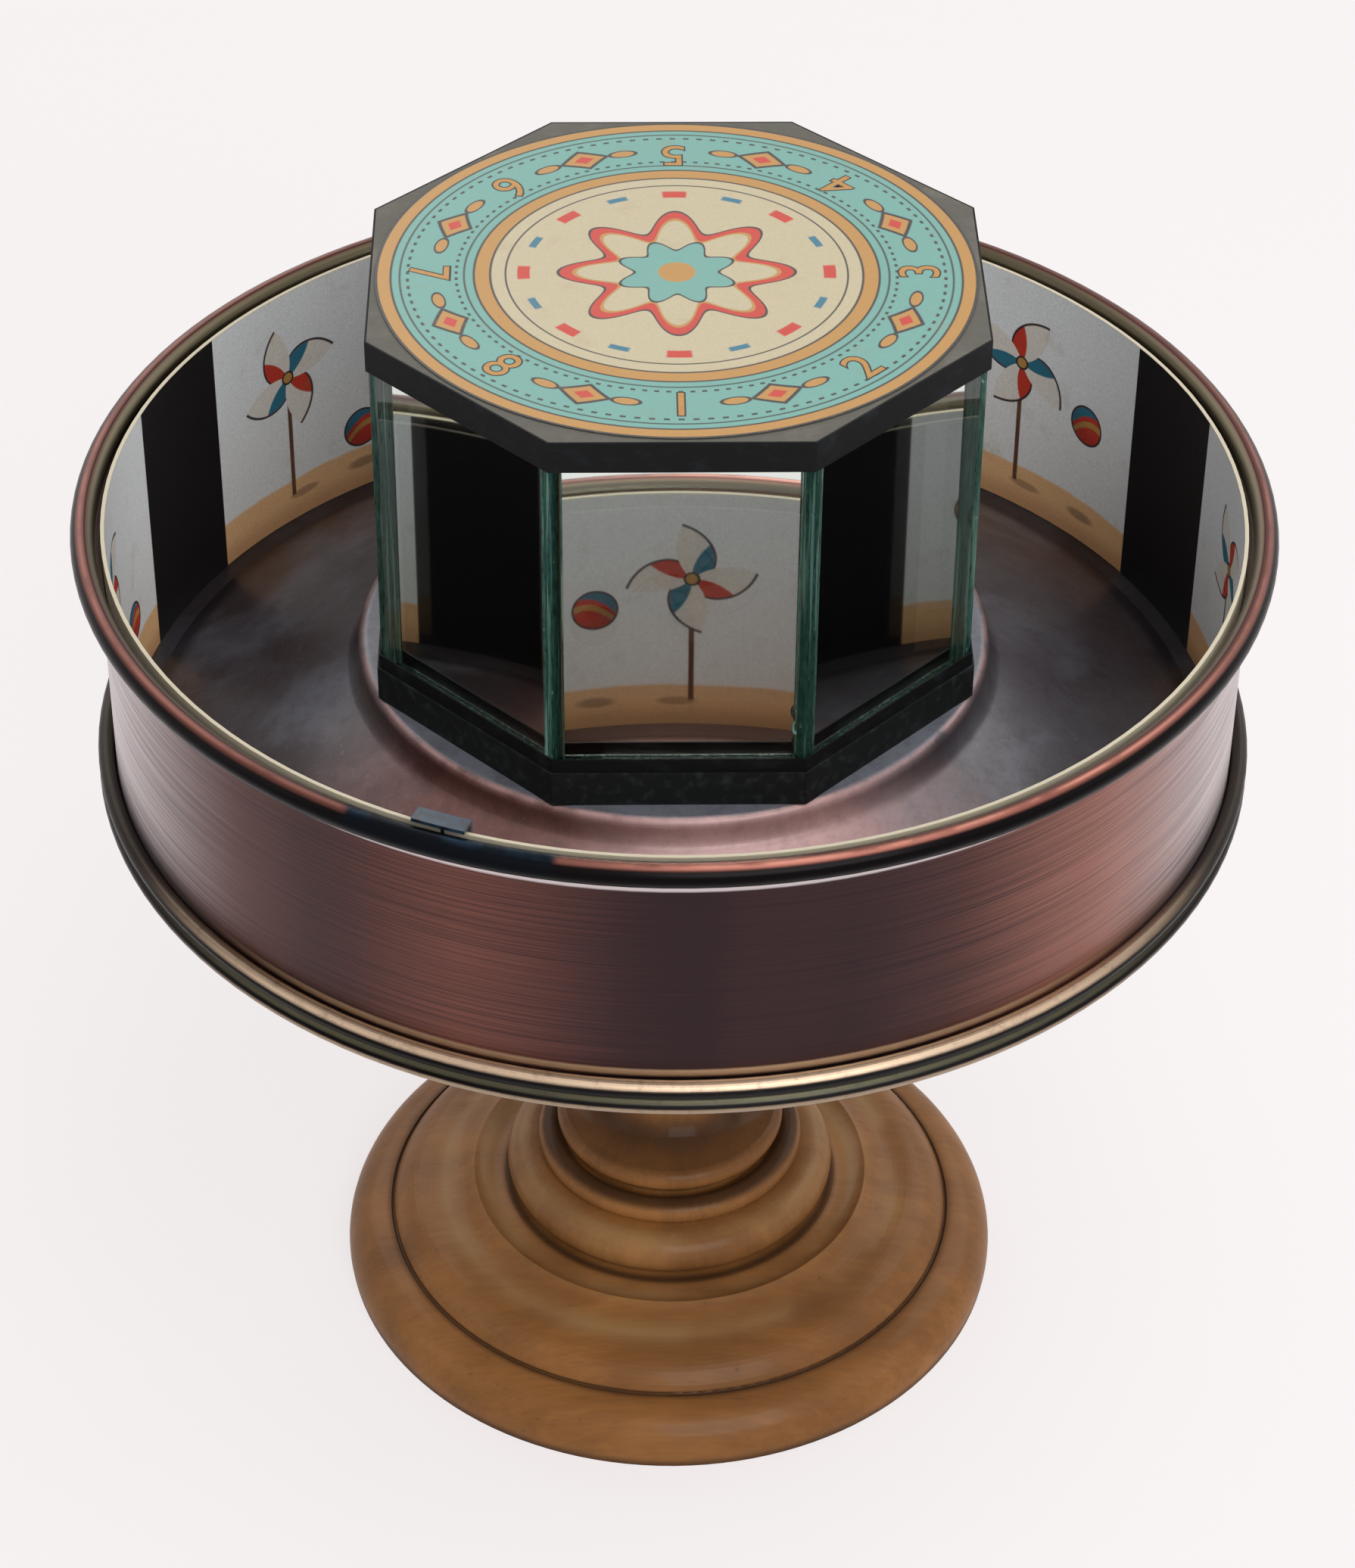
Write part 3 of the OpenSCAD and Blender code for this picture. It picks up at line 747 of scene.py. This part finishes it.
def label_print():
    """Round label: gold border, turquoise ring of lozenges, gold ring, and a rosette on cream."""
    shades = look().prints
    f = Finish("label_print")
    radius, azimuth = f.polar()
    eighths = f.math("COSINE", azimuth * MIRRORS)
    dots = f.rise(f.math("COSINE", azimuth * MIRRORS * 15), 0.1, 0.4)
    over_mirrors = f.rise(eighths, 0.75, 0.85)
    between_mirrors = f.rise(eighths, -0.8, -0.9)
    past_rosette = radius - (12.4 + eighths * 2.6)
    past_heart = radius - (6.6 + eighths * -1.2)

    middle = NUMERAL_RADIUS / MM
    turns = azimuth / EIGHTH
    along = abs(turns - f.whole(turns) - 0.5) * (EIGHTH * middle)
    across = abs(radius - middle)
    lozenge = along / 3.6 + across / 2.5
    leaf = f.math("SQRT", (along - 5.4) * (along - 5.4) / 3.2 + across * across * 1.6)
    edge = LABEL_RADIUS / MM
    printed = f.layers(
        shades.turquoise,
        # Lines and dots along both sides of the turquoise ring
        (f.band(radius, 27.2, 0.14, 0.08) * 0.9, shades.ink),
        (f.band(radius, 35.4, 0.14, 0.08) * 0.9, shades.ink),
        (f.band(radius, 28.2, 0.2, 0.1) * dots, shades.ink),
        (f.band(radius, 34.4, 0.2, 0.1) * dots, shades.ink),
        # A lozenge between each two numbers, with a leaf on both sides
        (f.rise(lozenge, 1.06, 0.98), shades.ink),
        (f.rise(lozenge, 0.82, 0.76), shades.gold),
        (f.rise(lozenge, 0.42, 0.36), shades.red),
        (f.rise(leaf, 1.2, 1.1), shades.ink),
        (f.rise(leaf, 0.92, 0.82), shades.gold),
        # Gold border, gold ring and cream middle, each with an ink line at its edges
        (f.rise(radius, 36.3, 36.5), shades.ink),
        (f.rise(radius, 36.6, 36.8), shades.gold),
        (f.rise(radius, edge - 0.45, edge - 0.3), shades.ink),
        (f.rise(radius, 26.2, 26.0), shades.ink),
        (f.rise(radius, 25.9, 25.7), shades.gold),
        (f.rise(radius, 24.1, 23.9), shades.ink),
        (f.rise(radius, 23.8, 23.6), shades.cream),
        (f.band(radius, 21.9, 0.12, 0.08), shades.ink),
        # Dashes round the rosette
        (f.band(radius, 19.6, 0.8, 0.1) * over_mirrors, shades.red),
        (f.band(radius, 19.6, 0.5, 0.1) * between_mirrors, shades.blue),
        # Rosette, its heart and its eye
        (f.rise(past_rosette, 0.5, 0.3), shades.ink),
        (f.rise(past_rosette, 0.1, -0.1), shades.red),
        (f.rise(past_rosette, -1.5, -1.7), shades.gold),
        (f.rise(past_rosette, -2.1, -2.3), shades.cream),
        (f.rise(past_heart, 0.3, 0.1), shades.ink),
        (f.rise(past_heart, -0.1, -0.3), shades.turquoise),
        (f.rise(radius, 2.5, 2.3), shades.gold),
    )
    return f.finish(f.surface(
        base_color=paper_age(f, printed), roughness=0.45,
        normal=f.bump(f.noise(0.4, detail=4), 0.03, 0.5), coat_weight=0.15, coat_roughness=0.3))


def gold_ink():
    shades = look().prints
    f = Finish("gold_ink")
    mottle = f.noise(0.6, detail=3)
    base = f.blend(f.rise(mottle, 0.4, 0.8) * 0.5, shades.gold, shades.dull_gold)
    return f.finish(f.surface(base_color=base, roughness=0.42, normal=f.bump(mottle, 0.02, 0.5)))


def black_ink():
    shades = look().prints
    f = Finish("black_ink")
    mottle = f.noise(0.6, detail=3)
    base = f.blend(mottle * 0.3, shades.ink, shades.grey_ink)
    return f.finish(f.surface(base_color=base, roughness=0.5, normal=f.bump(mottle, 0.02, 0.5)))


def pinwheel(f, picture, across, up):
    """Layers of a pinwheel on its stick, a sixteenth of a turn further in each picture."""
    inks, shades = look().prints, look().strip
    hub_up = up - PINWHEEL_UP
    reach = f.hypot(across, hub_up)
    spin = f.math("ARCTAN2", hub_up, across) + picture * (math.pi / MIRRORS) + reach * 0.07
    quarter = (spin % (math.pi / 2)) / (math.pi / 2)
    past_sail = reach - (3.2 + quarter * 5.6)
    sail = f.rise(past_sail, 0.12, -0.12)
    other_sails = f.rise((spin % math.pi) / math.pi, 0.495, 0.505)
    folded = f.rise(quarter, 0.50, 0.54)
    on_stick = f.rise(up, 4.0, 4.3) * f.rise(up, PINWHEEL_UP, PINWHEEL_UP - 0.3)
    shadow = f.rise(f.hypot(across + 2, (up - 4.0) * 4.0), 3.4, 2.0)
    return (
        (shadow * 0.5, shades.shadow),
        (f.band(across, 0.0, 0.38, 0.1) * on_stick, shades.stick),
        (f.rise(past_sail, 0.45, 0.25), inks.ink),
        (sail, inks.red),
        (sail * other_sails, inks.blue),
        (sail * folded, shades.sail_back),
        (f.rise(reach, 1.25, 1.05), inks.ink),
        (f.rise(reach, 0.9, 0.75), inks.gold),
    )


def ball(f, picture, across, up):
    """Layers of a red ball with a blue cap and a gold belt, at its height in each picture."""
    inks, shades = look().prints, look().strip
    bounce = abs(f.math("SINE", (picture + 0.5) * (math.pi / MIRRORS))) * BALL_BOUNCE
    ball_up = up - (BALL_UP + bounce)
    reach = f.hypot(across, ball_up)
    inside = f.rise(reach, 3.0, 2.85)
    curve = ball_up + across * 0.4 + across * across * 0.14
    shading = f.rise(ball_up - across, 2.2, -3.4)
    shadow = f.rise(f.hypot(across, (up - 4.2) * 3.2), 3.6, 1.6)
    return (
        (shadow * 0.6, shades.shadow),
        (f.rise(reach, 3.35, 3.15), inks.ink),
        (inside, inks.red),
        (inside * f.band(curve, 0.3, 0.5, 0.12), inks.gold),
        (inside * f.rise(curve, 1.55, 1.8), inks.blue),
        (inside * shading * 0.35, inks.ink),
    )


def strip_print():
    """Eight pictures of a turning pinwheel and a bouncing ball, between black bars."""
    inks, shades = look().prints, look().strip
    f = Finish("strip_print")
    radius, azimuth = f.polar()
    inner = WALL_IN / MM - 0.5
    turns = (azimuth + shades.turn) / EIGHTH + 0.5
    picture = f.whole(turns) + MIRRORS / 2
    across = (turns - f.whole(turns) - 0.5) * (EIGHTH * inner)
    up = f.z - STRIP_LOW.z / MM

    ground_line = 6.2 + f.noise(12, detail=2) * 1.2
    sand = f.rise(up - ground_line, 0.35, -0.35)
    specks = f.rise(f.noise(0.3, detail=3), 0.35, 0.7)
    painted = f.layers(
        shades.sky,
        (f.rise(up, 30, 8) * 0.25, shades.card),
        (sand, shades.sand),
        (sand * f.rise(up, 4.5, 0.5) * 0.5, shades.near_sand),
        *pinwheel(f, picture, across - PINWHEEL_ACROSS, up),
        *ball(f, picture, across - BALL_ACROSS, up),
        (specks * 0.12, inks.ink),
    )
    bar = f.rise(abs(across), PICTURE_HALF, PICTURE_HALF + 0.15)
    top = STRIP_HIGH.z / MM
    inside = f.rise(radius, inner + 0.3, inner + 0.1) * f.rise(f.z, top - 0.05, top - 0.12)
    printed = f.layers(
        shades.card,
        (inside, paper_age(f, painted)),
        (inside * bar, shades.bar),
    )
    return f.finish(f.surface(
        base_color=printed, roughness=0.55, normal=f.bump(f.noise(0.4, detail=4), 0.03, 0.5),
        ior=1.3))


def plate_glass():
    """Front of a mirror plate: clear, a little green, with fine dust."""
    f = Finish("plate_glass")
    dust = f.rise(f.noise(1.4, detail=6, roughness=0.7), 0.55, 0.85)
    return f.finish(f.surface(
        base_color=look().glass.clear, roughness=dust * 0.04, transmission_weight=1.0, ior=1.52))


def silvering():
    shades = look().glass
    f = Finish("silvering")
    tarnish = f.rise(f.noise(6, detail=6, roughness=0.65), 0.62, 0.85)
    base = f.blend(tarnish * 0.4, shades.silver, shades.tarnish)
    return f.finish(f.surface(base_color=base, metallic=1.0, roughness=0.02 + tarnish * 0.1))


def ground_edge():
    """Ground edge of the plate: dark green, with painted highlights: streaks of light and bright
    glints.
    """
    glass = look().glass
    f = Finish("ground_edge")
    grind = f.noise(0.3, (1, 1, 6), detail=4)
    streaks = f.noise(0.7, (1, 1, 40), detail=3)
    painted_glints = f.rise(f.noise(0.9, (1, 1, 2), detail=4), 0.66, 0.76)
    base = f.layers(
        tuple(c * 0.3 for c in glass.tint),
        (f.rise(grind, 0.3, 0.75) * 0.9, glass.tint),
        # Streaks and glints in the gleam colour are painted highlights.
        (f.rise(streaks, 0.51, 0.64) * 0.5, glass.gleam),
        (painted_glints * 0.7, glass.gleam),
    )
    return f.finish(f.surface(
        base_color=base, roughness=0.2 + grind * 0.2, normal=f.bump(grind, 0.05, 0.5),
        ior=1.52, coat_weight=0.6, coat_roughness=0.1))


# ---- operators: one for each piece or group of like pieces ----


class PRAX_OT_stand(bpy.types.Operator):
    """Varnish the turned foot and pillar."""

    bl_idname = "praxinoscope.stand"
    bl_label = "Stand"

    def execute(self, context):
        paint("foot", turned_wood("foot_wood", GRAIN_ALONG_X, FOOT_SWELLS, FOOT_DARK_RINGS))
        paint("column", turned_wood("column_wood", GRAIN_UPRIGHT, COLUMN_SWELLS, COLUMN_DARK_RINGS))
        return {"FINISHED"}


class PRAX_OT_metal(bpy.types.Operator):
    """Finish the spindle, hub, rivets and screws."""

    bl_idname = "praxinoscope.metal"
    bl_label = "Bearing and fasteners"

    def execute(self, context):
        shades = look().metal
        steel = turned_metal("steel", shades.steel, 0.25)
        brass = turned_metal("brass", shades.brass, 0.28)
        for name in ("spindle", "bearing_cup", "hub_plate", "hub_rivets", "rim_wire",
                     "column_screw", "prism_screws"):
            paint(name, steel)
        for name in ("hub_tube", "thrust_washer"):
            paint(name, brass)
        return {"FINISHED"}


class PRAX_OT_drum(bpy.types.Operator):
    """Lacquer the drum's wall and floor."""

    bl_idname = "praxinoscope.drum"
    bl_label = "Drum"

    def execute(self, context):
        paint("drum_wall", copper_tin())
        paint("floor_pan", floor_tin())
        return {"FINISHED"}


class PRAX_OT_strip(bpy.types.Operator):
    """Print the strip and lacquer the bar that holds its ends."""

    bl_idname = "praxinoscope.strip"
    bl_label = "Picture strip"

    def execute(self, context):
        paint("picture_strip", strip_print())
        paint("strip_bar", black_tin())
        return {"FINISHED"}


class PRAX_OT_mirrors(bpy.types.Operator):
    """Make the eight plates of back-silvered glass, with ground arrises, the front one chipped."""

    bl_idname = "praxinoscope.mirrors"
    bl_label = "Mirror plates"

    def execute(self, context):
        sizes = look().glass
        low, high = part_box("mirror_1")
        plate = new_piece("mirror_plate_1", bpy.ops.mesh.primitive_cube_add,
                          size=1, location=(low + high) / 2)
        plate.scale = high - low
        settle(plate)
        apply_modifier(plate, "BEVEL", width=sizes.arris, segments=2, limit_method="ANGLE")
        for material in (plate_glass(), silvering(), ground_edge()):
            plate.data.materials.append(material)
        self.coat(plate)
        plates = [plate]
        for number in range(2, MIRRORS + 1):
            plates.append(copy_turned(plate, f"mirror_plate_{number}", (number - 1) * EIGHTH))
        for above, share in FLAKES:
            corner = Vector((high.x, low.y, low.z + above * MM))
            self.break_flake(plate, corner, sizes.flake * share)
        self.coat(plate)
        for number, piece in enumerate(plates, 1):
            fit(piece, "drum", "mirror_glass", f"mirror_{number}")
        return {"FINISHED"}

    def coat(self, plate):
        """Glass on the front face, silver on the back and ground glass on all edges."""
        for face in plate.data.polygons:
            front, back = face.normal.y < -0.99, face.normal.y > 0.99
            face.material_index = 0 if front else 1 if back else 2

    def break_flake(self, plate, corner, height):
        """Breaks a shell-shaped flake out of an upright edge."""
        flake = new_piece("flake", bpy.ops.mesh.primitive_ico_sphere_add,
                          subdivisions=3, radius=height / 2, location=corner)
        flake.scale = FLAKE_SHAPE
        settle(flake)
        apply_modifier(plate, "BOOLEAN", operation="DIFFERENCE", object=flake)
        bpy.data.objects.remove(flake)


class PRAX_OT_prism(bpy.types.Operator):
    """Finish the plinth, carcass, tapes and lid of the mirror prism."""

    bl_idname = "praxinoscope.prism"
    bl_label = "Prism"

    def execute(self, context):
        paint("plinth", black_paint())
        paint("prism_core", bare_wood())
        tape = black_tape()
        paint("base_binding", tape)
        paint("lid_binding", tape)
        paint("lid_card", lid_paper())
        return {"FINISHED"}


class PRAX_OT_label(bpy.types.Operator):
    """Print the label and its numerals."""

    bl_idname = "praxinoscope.label"
    bl_label = "Label"

    def execute(self, context):
        sizes = look().label
        paint("lid_label", label_print())
        self.numerals("label_numeral_edges", black_ink(), sizes.outline, sizes.black_ink)
        self.numerals("label_numerals", gold_ink(), 0.0, sizes.gold_ink)
        return {"FINISHED"}

    def numerals(self, name, material, offset, thickness):
        """One mesh of the numbers 1 to 8, each over its mirror, raised by the ink's thickness."""
        numbers = []
        for number in range(1, MIRRORS + 1):
            deselect_all()
            bpy.ops.object.text_add(location=(0, 0, 0))
            text = bpy.context.object
            text.data.body = str(number)
            text.data.align_x = "CENTER"
            text.data.align_y = "CENTER"
            text.data.size = look().label.numeral
            text.data.offset = offset
            text.data.extrude = thickness
            bpy.ops.object.convert(target="MESH")
            text = bpy.context.object
            middle = sum(vertex.co.y for vertex in text.data.vertices) / len(text.data.vertices)
            text.data.transform(Matrix.Translation((0, -middle, 0)))
            turn = Matrix.Rotation((number - 1) * EIGHTH, 4, "Z")
            text.data.transform(turn @ Matrix.Translation((0, -NUMERAL_RADIUS, LABEL_TOP)))
            numbers.append(text)
        deselect_all()
        for text in numbers:
            text.select_set(True)
        bpy.context.view_layer.objects.active = numbers[0]
        bpy.ops.object.join()
        piece = bpy.context.object
        piece.name = name
        piece.data.name = name
        piece.data.materials.clear()
        piece.data.materials.append(material)
        fit(piece, "drum", "printed_paper")


class PRAX_OT_stage(bpy.types.Operator):
    """Set the pale ground, the lamps and the camera."""

    bl_idname = "praxinoscope.stage"
    bl_label = "Stage"

    def execute(self, context):
        self.floor()
        self.world(context)
        self.lamps()
        self.camera(context)
        context.scene.view_settings.view_transform = "Standard"
        return {"FINISHED"}

    def floor(self):
        """Ground that looks like pale paper, keeps the object's shadow and throws light back."""
        stage = look().stage
        ground = new_piece("ground", bpy.ops.mesh.primitive_circle_add, vertices=96,
                           radius=GROUND_RADIUS, fill_type="NGON", location=(0, 0, 0))
        settle(ground)
        f = Finish("pale_ground")
        lit = f.node("ShaderNodeBsdfDiffuse", None, {"Color": stage.ground})
        dim = f.node("ShaderNodeBsdfDiffuse", None, {"Color": stage.shadow})
        glow = f.node(
            "ShaderNodeEmission", None, {"Color": tuple(c * stage.glow for c in stage.paper)})
        pale = f.node("ShaderNodeAddShader", None, {0: dim, 1: glow})
        ground.data.materials.append(f.finish(
            f.node("ShaderNodeMixShader", None, {0: f.seen(), 1: lit, 2: pale})))

    def world(self, context):
        """Room that looks like the paper and lights the object only at the fill level."""
        stage = look().stage
        world = bpy.data.worlds.new("pale_room")
        context.scene.world = world
        world.use_nodes = True
        f = Nodes(world.node_tree)
        strength = f.seen() * (1 - stage.fill) + stage.fill
        sky = f.node("ShaderNodeBackground", None, {"Color": stage.paper, "Strength": strength})
        f.node("ShaderNodeOutputWorld", None, {"Surface": sky})

    def lamps(self):
        for name, azimuth, elevation, size, power in LAMPS:
            around, above = math.radians(azimuth), math.radians(elevation)
            direction = Vector((math.cos(around) * math.cos(above),
                                math.sin(around) * math.cos(above), math.sin(above)))
            deselect_all()
            bpy.ops.object.light_add(type="AREA", location=LAMP_AIM + direction * LAMP_DISTANCE)
            lamp = bpy.context.object
            lamp.name = name
            lamp.rotation_euler = direction.to_track_quat("Z", "Y").to_euler()
            lamp.data.shape = "SQUARE"
            lamp.data.size = size
            lamp.data.energy = getattr(look().stage, power)

    def camera(self, context):
        place = look().camera
        rim = Vector((0, 0, RIM_MIDDLE))
        aim_down = place.elevation + place.pitch
        back = Vector((0, -math.cos(place.elevation), math.sin(place.elevation)))
        forward = Vector((math.sin(place.yaw) * math.cos(aim_down),
                          math.cos(place.yaw) * math.cos(aim_down), -math.sin(aim_down)))
        right = forward.cross(Vector((0, 0, 1))).normalized()
        up = right.cross(forward)
        rolled_right = right * math.cos(place.roll) + up * math.sin(place.roll)
        rolled_up = up * math.cos(place.roll) - right * math.sin(place.roll)
        axes = Matrix((rolled_right, rolled_up, -forward)).transposed().to_4x4()
        deselect_all()
        bpy.ops.object.camera_add()
        camera = bpy.context.object
        camera.data.lens = place.lens
        camera.data.clip_start = 0.01
        turn = Matrix.Rotation(place.azimuth, 4, "Z")
        camera.matrix_world = turn @ Matrix.Translation(rim + back * place.distance) @ axes
        context.scene.camera = camera


class PRAX_PT_panel(bpy.types.Panel):
    """Lists the pieces of the praxinoscope."""

    bl_idname = "PRAX_PT_panel"
    bl_label = "Praxinoscope"
    bl_space_type = "VIEW_3D"
    bl_region_type = "UI"
    bl_category = "Praxinoscope"

    def draw(self, context):
        for operator in OPERATORS:
            self.layout.operator(operator.bl_idname)


OPERATORS = (
    PRAX_OT_stand, PRAX_OT_metal, PRAX_OT_drum, PRAX_OT_strip, PRAX_OT_mirrors,
    PRAX_OT_prism, PRAX_OT_label, PRAX_OT_stage,
)
CLASSES = (
    TinColours, WoodColours, MetalColours, PrintColours, StripColours, LabelSizes, PaperColours,
    GlassLook, CameraPlace, StageLook, Praxinoscope,
    *OPERATORS, PRAX_PT_panel,
)


def register():
    for cls in CLASSES:
        bpy.utils.register_class(cls)
    bpy.types.Scene.praxinoscope = PointerProperty(type=Praxinoscope)


def unregister():
    del bpy.types.Scene.praxinoscope
    for cls in reversed(CLASSES):
        bpy.utils.unregister_class(cls)


def main():
    register()
    bpy.ops.praxinoscope.stand()
    bpy.ops.praxinoscope.metal()
    bpy.ops.praxinoscope.drum()
    bpy.ops.praxinoscope.strip()
    bpy.ops.praxinoscope.mirrors()
    bpy.ops.praxinoscope.prism()
    bpy.ops.praxinoscope.label()
    bpy.ops.praxinoscope.stage()


if __name__ == "__main__":
    main()
